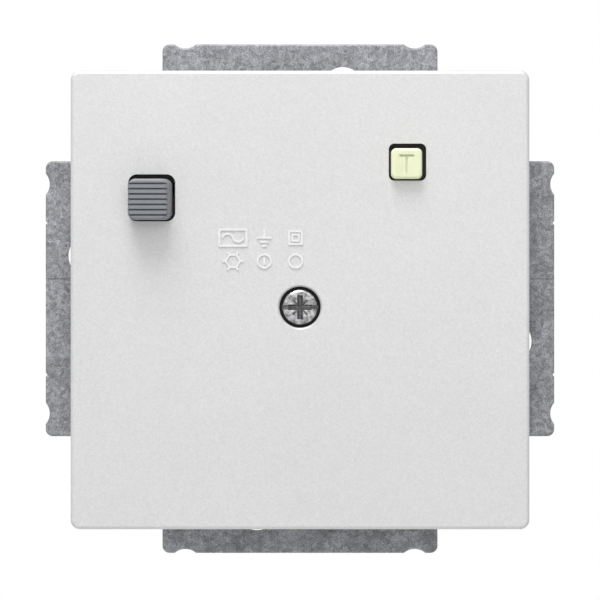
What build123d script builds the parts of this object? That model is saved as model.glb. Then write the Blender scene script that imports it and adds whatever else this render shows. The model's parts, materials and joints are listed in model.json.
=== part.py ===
"""Flush-mounted residual-current switch insert with its square cover plate.

The insert hangs on a wall: X is to the right, Z is up and Y runs into the wall. The front faces -Y.
The origin is the centre of the support ring's back face, which is the wall's surface. All sizes are
in millimetres. Depths called *_y are positions along Y, so a smaller one is nearer the front.
"""
from build123d import *
import math
import os

os.makedirs("parts", exist_ok=True)

# ---------------------------------------------------------------- support ring (zinc-plated steel)
ring_span = 71.0            # over opposite tabs
ring_thickness = 1.2
ring_body_side = 61.0       # the square that the tabs stand out from
ring_body_corner = 6.0
ring_tab_width = 38.4
ring_tab_corner = 1.0
ring_inner_corner = 1.4     # where a tab meets the body
ring_front_roll = 0.3       # rounded front edge left by the press tool
notch_offset = 16.0         # half-round notches in each tab's edge, from its middle
notch_radius = 2.3
notch_depth = 0.55
nick_offset = 10.6          # small centring nicks in the side tabs
nick_size = 0.35
coin_band = 5.7             # pressed band across the side tabs
coin_depth = 0.12
coin_length = 8.0
coin_inset = 1.5            # from the tab's end to the middle of the band
box_screw_circle = 60.0     # circle of the wall box's screws
keyhole_radius = 3.0        # large end, which passes a screw head
keyhole_slot_width = 3.6
keyhole_angle = 11.5        # the large end is turned this far from the tab's middle
claw_slot = (2.4, 6.0)
claw_slot_at = (27.0, 14.0)

# ---------------------------------------------------------------- cover plate (painted plastic)
plate_side = 63.0
plate_corner = 1.3
plate_edge = 0.5
plate_front_y = -9.4
plate_depth = 7.4           # front face to the skirt's back edge
plate_face_thickness = 2.0
plate_wall = 1.6
plate_play = (0.15, 0.22)   # the windows sit this far right and up of the buttons
reset_window_corner = 1.2
test_window_corner = 0.8
reset_window_gap = (0.28, 0.4)
test_window_gap = 0.45
skirt_relief = (11.0, 2.6)  # width and height of the cut-outs over the box screws
relief_height = 0.16        # raised marks
ring_mark_radius = 1.05
earth_bars = (2.0, 1.3, 0.6)
double_square = (2.0, 1.15)
frame_mark_size = (4.0, 2.5)
frame_mark_line = 0.28
mark_row_y = 8.55           # height of the upper row of marks above the centre
mark_row_pitch = 3.2
mark_pitch = 4.3
marks_start_x = -9.2
star_span = 2.9
star_body_ratio = 2.6       # the star's span over its body's radius
wave_ratio = 2.6            # half the wave's span over its height

# ---------------------------------------------------------------- cover screw and its insert
screw_z = -1.0              # below the plate's centre
screw_head_radius = 2.5
screw_head_height = 1.45
screw_head_dome = 0.45
screw_hole_radius = 2.85
screw_hole_bevel = 0.22
screw_sunk = 0.1            # the head's top lies this far behind the plate's face
cover_screw_radius = 1.48
cover_screw_length = 8.0
cross_arm_width = 0.75
cross_span = 3.3
cross_depth = 1.0
slot_width = 0.62
slot_depth = 0.5
cross_taper = 10
ray_span = 2.9              # fine diagonal rays between the arms of the cross
ray_width = 0.28
ray_depth = 0.35
screw_tip_chamfer = 0.35
insert_radius = 2.3
insert_length = 6.0
insert_bore = 1.52
insert_groove = 1.0

# ---------------------------------------------------------------- front housing
block_side = 50.0
block_corner = 6.0
block_front_y = -7.2
shell_wall = 1.2
spigot_flat = 44.2          # passes through the ring and locates in the rear housing
spigot_round = 49.2
spigot_back_y = 2.0
boss_radius = 3.5
boss_back_y = 0.6
deck_thickness = 1.2
shoulder_thickness = 1.2
reset_pocket_room = (1.0, 3.0)   # more than the button's base, across and up
same_place = 0.01           # edges this near to a line lie on it
fit_gap = 0.1               # between pieces that locate in each other
slide_gap = 0.18            # round what travels in a guide

# ---------------------------------------------------------------- rear housing
rear_flat = 48.0
rear_round = 53.0
rear_wall = 1.8
rear_back_y = 36.0
rear_edge = 1.4

# ---------------------------------------------------------------- reset button
reset_x, reset_z = -20.5, 13.8
reset_base = (5.9, 5.65)
reset_face = (5.35, 5.6)
reset_lean = -0.27          # the face stands this far left of the base
reset_proud = 4.0           # out of the plate in the tripped state
reset_travel = 2.8
reset_corner = 1.0
reset_face_round = 0.35
reset_stop = 0.75           # the shoulder stands out this far above and below
rib_pitch = 0.715
rib_groove = 0.24
rib_groove_depth = 0.45
groove_count = 7
reset_stem_x, reset_stem_z = -9.0, 6.0
reset_stem_radius = 1.5
reset_arm_thickness = 1.5
reset_arm_width = 4.4
spring_seat_radius = 2.9
reset_spring_radius = 2.25
reset_spring_wire = 0.22
spring_tube_wall = 0.8
spring_tube_back_y = 6.4
spring_tube_front_y = 0.0

# ---------------------------------------------------------------- test button and its contact
test_x, test_z = 14.6, 18.7
test_size = (4.25, 4.2)
test_proud = 1.5
test_travel = 1.2
test_corner = 0.7
test_stem_x, test_stem_z = 11.0, 12.0
test_stem_radius = 1.2
test_arm_thickness = 1.3
test_arm_width = 3.4
letter_height = 2.5
letter_width = 2.0
letter_line = 0.32
letter_depth = 0.3
test_face_round = 0.4
test_stop = 0.6
test_guide_front_y = -1.2
leaf_front_y = 4.5
leaf_thickness = 0.3
leaf_gap = 0.15
leaf_width = 3.0
leaf_root_x = -1.0
leaf_tip_x = 15.0
leaf_clamp_length = 3.5
leaf_root_gap = 0.7         # free length at the clamp, so the flat spring can lift
test_post_radius = 1.0
test_post_x = 13.6
resistor_radius = 1.3
resistor_length = 7.0
resistor_at = (3.0, 9.0, 18.0)
lead_radius = 0.3
lead_bend = 0.8
resistor_lead_x = -3.5

# ---------------------------------------------------------------- switching mechanism
carrier_front_y = 7.0
carrier_thickness = 3.0
carrier_length = 30.0
carrier_height = 6.4
carrier_tongue_width = 5.0
carrier_corner = 0.8
carrier_tongue_z = -7.1     # end that the latch catches
pole_x = 7.4                # line at -pole_x, neutral at +pole_x
bridge_width = 3.0
bridge_length = 15.2
bridge_thickness = 0.7
bridge_stand_off = 1.4      # behind the carrier
tip_radius = 1.3
tip_thickness = 0.75
tip_z = 6.0
contact_over_gap = 0.05     # left between the tips at full travel
stirrup_leg = 0.9
stirrup_height = 3.2
contact_spring_radius = 1.05
contact_spring_wire = 0.16
contact_pocket = 1.6
guide_pin_x = 12.6
guide_pin_radius = 1.2
guide_pin_lead = 1.5        # in front of the carrier
opening_spring_radius = 1.9
opening_spring_wire = 0.2
strip_thickness = 0.8
strip_width = 4.0
chassis_thickness = 1.8
chassis_half_x = 15.8
chassis_half_z = 12.6
pillar_radius = 1.2
pillar_points = ((-14.2, 9.8), (-14.2, -9.8), (14.2, 6.5))

# ---------------------------------------------------------------- latch and trip relay
latch_y, latch_z = 14.2, -9.2
latch_width = 4.4
latch_arm_half = 0.9
latch_nose_front = -5.8     # from the pivot, along Y
latch_nose_back = -4.95
latch_nose_top = 2.3        # from the pivot, along Z, when the carrier is held
latch_tail = 5.8
latch_tail_half = 0.7
latch_hub_radius = 1.5
latch_swing = math.degrees(0.26)
latch_pin_radius = 0.7
latch_pin_gap = 0.06
latch_lug = 1.0
relay_size = (14.0, 8.4, 8.4)
relay_front_y = 3.6
relay_top_z = -12.0
plunger_radius = 0.8
plunger_length = 7.0
plunger_tip_y = 14.5
plunger_drop = 5.0          # below the latch's pivot
plunger_return = 1.2        # free depth behind the plunger
plunger_pocket = 4.6
relay_edge = 0.4
board_size = (7.3, 1.2, 9.5)
board_low = (8.5, 4.0, -15.5)
capacitor_radius = 1.9
capacitor_length = 7.0
diode_radius = 0.9
diode_length = 3.0
diode_spread = 2.3

# ---------------------------------------------------------------- summation transformer
core_inner, core_outer = 5.3, 8.7
core_height = 6.0
winding_cover = 0.8
winding_gap_slope = 0.45    # the winding leaves this wedge of the core bare
primary_radius = 1.1
primary_x = 2.3
primary_bend_y = 29.2
primary_bend_radius = 1.6

# ---------------------------------------------------------------- terminals
terminal_x, terminal_z = 8.0, 17.4
cage_width = 6.0
cage_depth = 6.0
cage_wall = 0.9
cage_floor = 1.2
cage_front_y = 18.6
cage_back_y = 28.6
cage_top = 1.6
bar_front_y = 24.5
terminal_screw_radius = 1.7
thread_gap = 0.05
terminal_head_radius = 2.8
terminal_head_height = 2.2
terminal_head_y = 33.2
terminal_well_radius = 3.05
wire_hole_radius = 2.1
wire_funnel = 1.5
wire_hole_bevel = 0.5
rib_thickness = 1.0
rib_inner_z = 10.5
terminal_slot = 0.9
terminal_seat = 0.8
terminal_tip_gap = 0.4      # between the screw's end and the bar

# ---------------------------------------------------------------- housing screws
housing_screw_x, housing_screw_z = 19.6, 5.5
housing_boss_radius = 2.5
housing_well_radius = 3.3
housing_well_bore = 2.4
housing_well_floor = 2.5
housing_screw_radius = 1.25
housing_screw_length = 9.5
housing_head_radius = 2.2
housing_head_height = 1.8

# ---------------------------------------------------------------- derived positions
plate_back_y = plate_front_y + plate_depth
plate_inner_y = plate_front_y + plate_face_thickness
block_inner_y = block_front_y + shell_wall
ring_opening_flat = spigot_flat + 4 * fit_gap
ring_opening_round = spigot_round + 4 * fit_gap
rear_inner_flat = rear_flat - 2 * rear_wall
rear_inner_round = rear_round - 2 * rear_wall
rear_inner_y = rear_back_y - rear_wall
shoulder_y = -ring_thickness - shoulder_thickness
screw_head_y = plate_front_y + screw_sunk
screw_seat_y = screw_head_y + screw_head_height
reset_shoulder_y = block_inner_y + fit_gap
reset_arm_back_y = reset_shoulder_y + reset_arm_thickness
test_arm_back_y = reset_shoulder_y + test_arm_thickness
carrier_back_y = carrier_front_y + carrier_thickness
bridge_front_y = carrier_back_y + bridge_stand_off
bridge_back_y = bridge_front_y + bridge_thickness
moving_tip_y = bridge_back_y + tip_thickness
fixed_tip_y = moving_tip_y + reset_travel + contact_over_gap
strip_front_y = fixed_tip_y + tip_thickness
chassis_front_y = strip_front_y + strip_thickness
chassis_back_y = chassis_front_y + chassis_thickness
core_front_y = chassis_back_y + winding_cover + fit_gap
winding_back_y = core_front_y + core_height + winding_cover
wire_hole_y = (cage_front_y + cage_floor + bar_front_y) / 2
deck_back_y = spigot_back_y + deck_thickness
spring_floor_y = spring_tube_back_y - spring_tube_wall
housing_head_y = deck_back_y + housing_well_floor
terminal_seat_y = terminal_head_y - terminal_seat
terminal_tip_y = bar_front_y + strip_thickness + terminal_tip_gap
outer_rib_x = terminal_x + cage_width / 2 + slide_gap + rib_thickness / 2
rib_outer_z = rear_inner_flat / 2 + rear_wall / 4
rib_x = terminal_x - cage_width / 2 - slide_gap - rib_thickness / 2
poles = {"line": -1, "neutral": 1}
terminals = {"in": -1, "out": 1}


def at_depth(y):
    """The drawing plane at depth y: local x is X, local y is Z, and extruding goes to the front."""
    return Plane.XZ.offset(-y)


def save(part, name):
    """Labels a finished piece and writes it as one STEP file."""
    part.label = name
    export_step(part, f"parts/{name}.step")


def clipped_square(flat, round_diameter):
    """Sketch: a square whose corners are cut off by a circle."""
    Rectangle(flat, flat)
    Circle(round_diameter / 2, mode=Mode.INTERSECT)


def coil_spring(x, z, front_y, back_y, coil_radius, wire_radius, turns):
    """A helical compression spring along Y that fills the space between two seats."""
    seat = wire_radius + fit_gap / 2
    height = back_y - front_y - 2 * seat
    with BuildPart() as spring:
        with BuildLine() as path:
            Helix(height / turns, height, coil_radius, (x, front_y + seat, z), (0, 1, 0))
        with BuildSketch(Plane(path.line @ 0, z_dir=path.line % 0)):
            Circle(wire_radius)
        sweep(is_frenet=True)
    return spring.part


def round_wire(points, radii, wire_radius):
    """A wire of round section along straight runs joined by arcs."""
    with BuildPart() as wire:
        with BuildLine() as path:
            if len(points) > 2:
                FilletPolyline(*points, radius=radii)
            else:
                Line(*points)
        with BuildSketch(Plane(path.line @ 0, z_dir=path.line % 0)):
            Circle(wire_radius)
        sweep()
    return wire.part


# ================================================================ support ring
notch_centre = ring_span / 2 + notch_radius - notch_depth
with BuildPart() as support_ring:
    with BuildSketch(at_depth(0)):
        RectangleRounded(ring_body_side, ring_body_side, ring_body_corner)
        for size in ((ring_span, ring_tab_width), (ring_tab_width, ring_span)):
            Rectangle(*size)
    extrude(amount=ring_thickness)
    tab_corners = support_ring.edges().filter_by(Axis.Y).filter_by(
        lambda e: max(abs(e.center().X), abs(e.center().Z)) > ring_span / 2 - same_place)
    fillet(tab_corners, ring_tab_corner)
    inner_corners = support_ring.edges().filter_by(Axis.Y).filter_by(
        lambda e: abs(abs(e.center().X) - ring_body_side / 2) < same_place
        and abs(abs(e.center().Z) - ring_tab_width / 2) < same_place
        or abs(abs(e.center().Z) - ring_body_side / 2) < same_place
        and abs(abs(e.center().X) - ring_tab_width / 2) < same_place)
    fillet(inner_corners, ring_inner_corner)
    with BuildSketch(at_depth(0)):
        for side in (-1, 1):
            for end in (-1, 1):
                with Locations((side * notch_centre, end * notch_offset),
                               (end * notch_offset, side * notch_centre)):
                    Circle(notch_radius)
                with Locations((side * ring_span / 2, end * nick_offset)):
                    Rectangle(nick_size, nick_size, rotation=45)
    extrude(amount=ring_thickness, mode=Mode.SUBTRACT)
    front_outline = support_ring.faces().sort_by(Axis.Y)[0].outer_wire().edges()
    fillet(front_outline, ring_front_roll)
    with BuildSketch(at_depth(0)):
        clipped_square(ring_opening_flat, ring_opening_round)
        for quarter in range(4):
            slot_middle = 90 - 90 * quarter
            with PolarLocations(box_screw_circle / 2, 1, slot_middle - keyhole_angle, 0):
                Circle(keyhole_radius)
            with BuildLine() as slot_line:
                CenterArc((0, 0), box_screw_circle / 2, slot_middle - keyhole_angle,
                          2 * keyhole_angle)
            SlotArc(slot_line.edge(), keyhole_slot_width)
        with GridLocations(2 * claw_slot_at[0], 2 * claw_slot_at[1], 2, 2):
            Rectangle(*claw_slot)
    extrude(amount=ring_thickness, mode=Mode.SUBTRACT)
    with BuildSketch(at_depth(-ring_thickness)):
        with GridLocations(2 * (ring_span / 2 - coin_inset), 0, 2, 1):
            Rectangle(coin_length, coin_band)
    extrude(amount=-coin_depth, mode=Mode.SUBTRACT)
save(support_ring.part, "support_ring")

# ================================================================ cover plate
plate_x, plate_z = plate_play
with BuildPart() as cover_plate:
    with BuildSketch(at_depth(plate_back_y)):
        RectangleRounded(plate_side, plate_side, plate_corner)
    extrude(amount=plate_depth)
    fillet(cover_plate.faces().sort_by(Axis.Y)[0].edges(), plate_edge)
    with BuildSketch(at_depth(plate_back_y)):
        RectangleRounded(plate_side - 2 * plate_wall, plate_side - 2 * plate_wall, plate_corner / 2)
    extrude(amount=plate_depth - plate_face_thickness, mode=Mode.SUBTRACT)
    with BuildSketch(at_depth(block_front_y)):
        with Locations((0, screw_z)):
            Circle(boss_radius)
    extrude(amount=block_front_y - plate_inner_y)
    with BuildSketch(at_depth(plate_front_y)):
        with Locations((0, screw_z)):
            Circle(cover_screw_radius + slide_gap)
    extrude(amount=-plate_depth, mode=Mode.SUBTRACT)
    with BuildSketch(at_depth(screw_seat_y)):
        with Locations((0, screw_z)):
            Circle(screw_hole_radius)
    extrude(amount=screw_seat_y - plate_front_y, mode=Mode.SUBTRACT)
    screw_rim = cover_plate.faces().sort_by(Axis.Y)[0].inner_wires().edges()
    chamfer(screw_rim, screw_hole_bevel)
    with BuildSketch(at_depth(plate_front_y)):
        with Locations((reset_x + plate_x, reset_z + plate_z)):
            RectangleRounded(reset_base[0] + 2 * reset_window_gap[0],
                             reset_base[1] + 2 * reset_window_gap[1], reset_window_corner)
        with Locations((test_x + plate_x, test_z + plate_z)):
            RectangleRounded(test_size[0] + 2 * test_window_gap,
                             test_size[1] + 2 * test_window_gap, test_window_corner)
    extrude(amount=-plate_face_thickness, mode=Mode.SUBTRACT)
    with BuildSketch(at_depth(plate_back_y)):
        for size in ((plate_side + 2, skirt_relief[0]), (skirt_relief[0], plate_side + 2)):
            Rectangle(*size)
        Rectangle(plate_side - 2 * plate_wall, plate_side - 2 * plate_wall, mode=Mode.SUBTRACT)
    extrude(amount=skirt_relief[1], mode=Mode.SUBTRACT)
    # Raised pictograms: a framed sine wave, an earth sign, a double square,
    # a star and two rings.
    with BuildSketch(at_depth(plate_front_y)):
        with Locations((marks_start_x, mark_row_y)):
            Rectangle(*frame_mark_size)
            Rectangle(frame_mark_size[0] - 2 * frame_mark_line,
                      frame_mark_size[1] - 2 * frame_mark_line, mode=Mode.SUBTRACT)
        wave = frame_mark_size[0] / 2 - 2 * frame_mark_line
        with BuildLine() as wave_line:
            ThreePointArc((marks_start_x - wave, mark_row_y),
                          (marks_start_x - wave / 2, mark_row_y + wave / wave_ratio),
                          (marks_start_x, mark_row_y))
            ThreePointArc((marks_start_x, mark_row_y),
                          (marks_start_x + wave / 2, mark_row_y - wave / wave_ratio),
                          (marks_start_x + wave, mark_row_y))
        trace(wave_line.line, frame_mark_line)
        for step, bar in enumerate(earth_bars):
            with Locations((marks_start_x + mark_pitch, mark_row_y - 2 * step * frame_mark_line)):
                Rectangle(bar, frame_mark_line)
        with Locations((marks_start_x + mark_pitch, mark_row_y + 2 * frame_mark_line)):
            Rectangle(frame_mark_line, 4 * frame_mark_line)
        with Locations((marks_start_x + 2 * mark_pitch, mark_row_y)):
            for outer in double_square:
                inner = outer - 2 * frame_mark_line
                Rectangle(outer, outer)
                Rectangle(inner, inner, mode=Mode.SUBTRACT)
        with Locations((marks_start_x, mark_row_y - mark_row_pitch)):
            for turn in (0, 60, 120):
                Rectangle(star_span, frame_mark_line, rotation=turn)
            RegularPolygon(star_span / star_body_ratio, 6)
            RegularPolygon(star_span / star_body_ratio - frame_mark_line, 6, mode=Mode.SUBTRACT)
        for step in (1, 2):
            with Locations((marks_start_x + mark_pitch * step, mark_row_y - mark_row_pitch)):
                Circle(ring_mark_radius)
                Circle(ring_mark_radius - frame_mark_line, mode=Mode.SUBTRACT)
        with Locations((marks_start_x + mark_pitch, mark_row_y - mark_row_pitch)):
            Rectangle(frame_mark_line, ring_mark_radius)
    extrude(amount=relief_height)
save(cover_plate.part, "cover_plate")

# ================================================================ cover screw and threaded insert
with BuildPart() as cover_screw:
    with BuildSketch(at_depth(screw_seat_y)):
        with Locations((0, screw_z)):
            Circle(screw_head_radius)
    extrude(amount=screw_head_height)
    fillet(cover_screw.faces().sort_by(Axis.Y)[0].edges(), screw_head_dome)
    with BuildSketch(at_depth(screw_seat_y)):
        with Locations((0, screw_z)):
            Circle(cover_screw_radius)
    extrude(amount=-cover_screw_length)
    chamfer(cover_screw.faces().sort_by(Axis.Y)[-1].edges(), screw_tip_chamfer)
    with BuildSketch(at_depth(screw_head_y)):
        with Locations((0, screw_z)):
            Rectangle(cross_arm_width, cross_span)
            Rectangle(cross_span, cross_arm_width)
    extrude(amount=-cross_depth, taper=cross_taper, mode=Mode.SUBTRACT)
    with BuildSketch(at_depth(screw_head_y)):
        with Locations((0, screw_z)):
            for turn in (45, 135):
                Rectangle(ray_span, ray_width, rotation=turn)
    extrude(amount=-ray_depth, mode=Mode.SUBTRACT)
    with BuildSketch(at_depth(screw_head_y)):
        with Locations((0, screw_z)):
            Rectangle(2 * screw_head_radius + 1, slot_width)
    extrude(amount=-slot_depth, mode=Mode.SUBTRACT)
save(cover_screw.part, "cover_screw")

with BuildPart() as cover_screw_insert:
    with BuildSketch(at_depth(block_front_y)):
        with Locations((0, screw_z)):
            Circle(insert_radius)
            Circle(insert_bore, mode=Mode.SUBTRACT)
    extrude(amount=-insert_length)
    with BuildSketch(at_depth(block_front_y + insert_length / 2 + insert_groove / 2)):
        with Locations((0, screw_z)):
            Circle(insert_radius)
            Circle(insert_radius - insert_groove / 2, mode=Mode.SUBTRACT)
    extrude(amount=insert_groove, mode=Mode.SUBTRACT)
save(cover_screw_insert.part, "cover_screw_insert")

# ================================================================ front housing
reset_opening = (reset_base[0] + 2 * slide_gap, reset_base[1] + 2 * slide_gap)
test_opening = (test_size[0] + 2 * slide_gap, test_size[1] + 2 * slide_gap)
reset_pocket = (reset_base[0] + reset_pocket_room[0], reset_base[1] + reset_pocket_room[1])
housing_corners = [(x * housing_screw_x, z * housing_screw_z) for x in (-1, 1) for z in (-1, 1)]
with BuildPart() as front_housing:
    with BuildSketch(at_depth(-ring_thickness)):
        RectangleRounded(block_side, block_side, block_corner)
    extrude(amount=-ring_thickness - block_front_y)
    fillet(front_housing.faces().sort_by(Axis.Y)[0].edges(), rear_edge / 2)
    with BuildSketch(at_depth(spigot_back_y)):
        clipped_square(spigot_flat, spigot_round)
    extrude(amount=spigot_back_y + ring_thickness)
    with BuildSketch(at_depth(shoulder_y)):
        RectangleRounded(block_side - 2 * shell_wall, block_side - 2 * shell_wall,
                         block_corner - shell_wall)
    extrude(amount=shoulder_y - block_inner_y, mode=Mode.SUBTRACT)
    with BuildSketch(at_depth(spigot_back_y)):
        clipped_square(spigot_flat - 2 * shell_wall, spigot_round - 2 * shell_wall)
    extrude(amount=spigot_back_y - shoulder_y, mode=Mode.SUBTRACT)
    with BuildSketch(at_depth(spigot_back_y)):
        with Locations(*housing_corners):
            Circle(housing_boss_radius)
    extrude(amount=spigot_back_y - block_inner_y)
    with BuildSketch(at_depth(spigot_back_y)):
        with Locations(*housing_corners):
            Circle(housing_screw_radius + thread_gap)
    extrude(amount=spigot_back_y - block_inner_y - fit_gap, mode=Mode.SUBTRACT)
    with BuildSketch(at_depth(boss_back_y)):
        with Locations((0, screw_z)):
            Circle(boss_radius)
    extrude(amount=boss_back_y - block_inner_y)
    with BuildSketch(at_depth(block_front_y)):
        with Locations((0, screw_z)):
            Circle(insert_radius)
    extrude(amount=-insert_length, mode=Mode.SUBTRACT)
    with BuildSketch(at_depth(block_front_y)):
        with Locations((0, screw_z)):
            Circle(cover_screw_radius + slide_gap)
    extrude(amount=block_front_y - boss_back_y, mode=Mode.SUBTRACT)
    with BuildSketch(at_depth(block_front_y)):
        with Locations((reset_x, reset_z)):
            RectangleRounded(*reset_opening, reset_corner)
        with Locations((test_x, test_z)):
            RectangleRounded(*test_opening, test_corner)
    extrude(amount=-shell_wall, mode=Mode.SUBTRACT)
    with BuildSketch(at_depth(shoulder_y)):
        with Locations((reset_x + fit_gap, reset_z)):
            Rectangle(*reset_pocket)
    extrude(amount=-shoulder_thickness, mode=Mode.SUBTRACT)
save(front_housing.part, "front_housing")

# ================================================================ inner deck with the button guides
with BuildPart() as guide_deck:
    with BuildSketch(at_depth(deck_back_y)):
        clipped_square(spigot_flat, spigot_round)
    extrude(amount=deck_thickness)
    with BuildSketch(at_depth(spring_tube_back_y)):
        with Locations((reset_stem_x, reset_stem_z)):
            Circle(spring_seat_radius + spring_tube_wall)
    extrude(amount=spring_tube_back_y - spring_tube_front_y)
    with BuildSketch(at_depth(deck_back_y)):
        with Locations((test_stem_x, test_stem_z)):
            Circle(test_stem_radius + slide_gap + spring_tube_wall)
    extrude(amount=deck_back_y - test_guide_front_y)
    with BuildSketch(at_depth(spring_floor_y)):
        with Locations((reset_stem_x, reset_stem_z)):
            Circle(spring_seat_radius)
    extrude(amount=spring_floor_y - spring_tube_front_y, mode=Mode.SUBTRACT)
    with BuildSketch(at_depth(spring_tube_back_y)):
        with Locations((reset_stem_x, reset_stem_z)):
            Circle(reset_stem_radius + slide_gap)
        with Locations((test_stem_x, test_stem_z)):
            Circle(test_stem_radius + slide_gap)
        with Locations(*housing_corners):
            Circle(housing_screw_radius + slide_gap)
    extrude(amount=spring_tube_back_y - spring_tube_front_y + spring_tube_wall * 2,
            mode=Mode.SUBTRACT)
save(guide_deck.part, "guide_deck")

# ================================================================ reset button and its spring
reset_front_y = plate_front_y - reset_proud
rib_start_z = reset_z - (groove_count - 1) / 2 * rib_pitch
with BuildPart() as reset_button:
    with BuildSketch(at_depth(plate_front_y)):
        with Locations((reset_x, reset_z)):
            RectangleRounded(*reset_base, reset_corner)
    with BuildSketch(at_depth(reset_front_y)):
        with Locations((reset_x + reset_lean, reset_z)):
            RectangleRounded(*reset_face, reset_corner)
    loft()
    fillet(reset_button.faces().sort_by(Axis.Y)[0].edges(), reset_face_round)
    with BuildSketch(at_depth(reset_front_y)):
        for step in range(groove_count):
            with Locations((reset_x, rib_start_z + step * rib_pitch)):
                Rectangle(reset_base[0] + 1, rib_groove)
    extrude(amount=-rib_groove_depth, mode=Mode.SUBTRACT)
    with BuildSketch(at_depth(reset_shoulder_y)):
        with Locations((reset_x, reset_z)):
            RectangleRounded(*reset_base, reset_corner)
    extrude(amount=reset_shoulder_y - plate_front_y)
    with BuildSketch(at_depth(reset_arm_back_y)):
        with Locations((reset_x, reset_z)):
            Rectangle(reset_base[0], reset_base[1] + 2 * reset_stop)
        with Locations((reset_stem_x, reset_stem_z)):
            Circle(spring_seat_radius)
        with BuildLine() as arm_line:
            Line((reset_x, reset_z), (reset_stem_x, reset_stem_z))
        trace(arm_line.line, reset_arm_width)
    extrude(amount=reset_arm_thickness)
    with BuildSketch(at_depth(carrier_front_y - fit_gap)):
        with Locations((reset_stem_x, reset_stem_z)):
            Circle(reset_stem_radius)
    extrude(amount=carrier_front_y - fit_gap - reset_arm_back_y)
save(reset_button.part, "reset_button")

reset_spring = coil_spring(reset_stem_x, reset_stem_z, reset_arm_back_y, spring_floor_y,
                           reset_spring_radius, reset_spring_wire, 7)
save(reset_spring, "reset_spring")

# ================================================================ test button
test_front_y = plate_front_y - test_proud
with BuildPart() as test_button:
    with BuildSketch(at_depth(reset_shoulder_y)):
        with Locations((test_x, test_z)):
            RectangleRounded(*test_size, test_corner)
    extrude(amount=reset_shoulder_y - test_front_y)
    fillet(test_button.faces().sort_by(Axis.Y)[0].edges(), test_face_round)
    with BuildSketch(at_depth(test_front_y)):
        with Locations((test_x, test_z)):
            Rectangle(letter_line, letter_height)
        with Locations((test_x, test_z + (letter_height - letter_line) / 2)):
            Rectangle(letter_width, letter_line)
    extrude(amount=-letter_depth, mode=Mode.SUBTRACT)
    with BuildSketch(at_depth(test_arm_back_y)):
        with Locations((test_x, test_z)):
            Rectangle(test_size[0] + 2 * test_stop, test_size[1] + 2 * test_stop)
        with Locations((test_stem_x, test_stem_z)):
            Circle(test_arm_width / 2)
        with BuildLine() as arm_line:
            Line((test_x, test_z), (test_stem_x, test_stem_z))
        trace(arm_line.line, test_arm_width)
    extrude(amount=test_arm_thickness)
    with BuildSketch(at_depth(leaf_front_y - leaf_gap)):
        with Locations((test_stem_x, test_stem_z)):
            Circle(test_stem_radius)
    extrude(amount=leaf_front_y - leaf_gap - test_arm_back_y)
save(test_button.part, "test_button")

# ================================================================ test circuit
leaf_length = leaf_tip_x - leaf_root_x
test_angle = test_travel / (test_stem_x - leaf_root_x)
post_front_y = leaf_front_y + leaf_thickness + (leaf_tip_x - leaf_root_x) * test_angle + thread_gap
with BuildPart() as test_leaf:
    with BuildSketch(at_depth(leaf_front_y + leaf_thickness)):
        with Locations(((leaf_root_x + leaf_tip_x) / 2, test_stem_z)):
            RectangleRounded(leaf_length, leaf_width, leaf_width / 4)
    extrude(amount=leaf_thickness)
save(test_leaf.part, "test_leaf")

with BuildPart() as test_leaf_clamp:
    with BuildSketch(at_depth(leaf_front_y + leaf_thickness)):
        with Locations((leaf_root_x - leaf_root_gap - leaf_clamp_length / 2, test_stem_z)):
            Rectangle(leaf_clamp_length, leaf_width)
    extrude(amount=leaf_front_y + leaf_thickness - deck_back_y)
save(test_leaf_clamp.part, "test_leaf_clamp")

with BuildPart() as test_contact_post:
    with BuildSketch(at_depth(chassis_front_y)):
        with Locations((test_post_x, test_stem_z)):
            Circle(test_post_radius)
    extrude(amount=chassis_front_y - post_front_y)
save(test_contact_post.part, "test_contact_post")

resistor_x, resistor_y, resistor_z = resistor_at
with BuildPart() as test_resistor:
    with Locations((resistor_x + resistor_length / 2, resistor_y, resistor_z)):
        Cylinder(resistor_radius, resistor_length, rotation=(0, 90, 0))
    fillet(test_resistor.edges(), resistor_radius / 3)
    add(round_wire(((resistor_x + resistor_length - lead_radius, resistor_y, resistor_z),
                    (test_post_x, resistor_y, resistor_z),
                    (test_post_x, resistor_y, test_stem_z + test_post_radius)),
                   lead_bend, lead_radius))
    add(round_wire(((resistor_x + lead_radius, resistor_y, resistor_z),
                    (resistor_lead_x, resistor_y, resistor_z),
                    (resistor_lead_x, resistor_y, test_stem_z),
                    (resistor_lead_x, leaf_front_y + leaf_thickness, test_stem_z)),
                   lead_bend, lead_radius))
save(test_resistor.part, "test_resistor")

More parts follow.
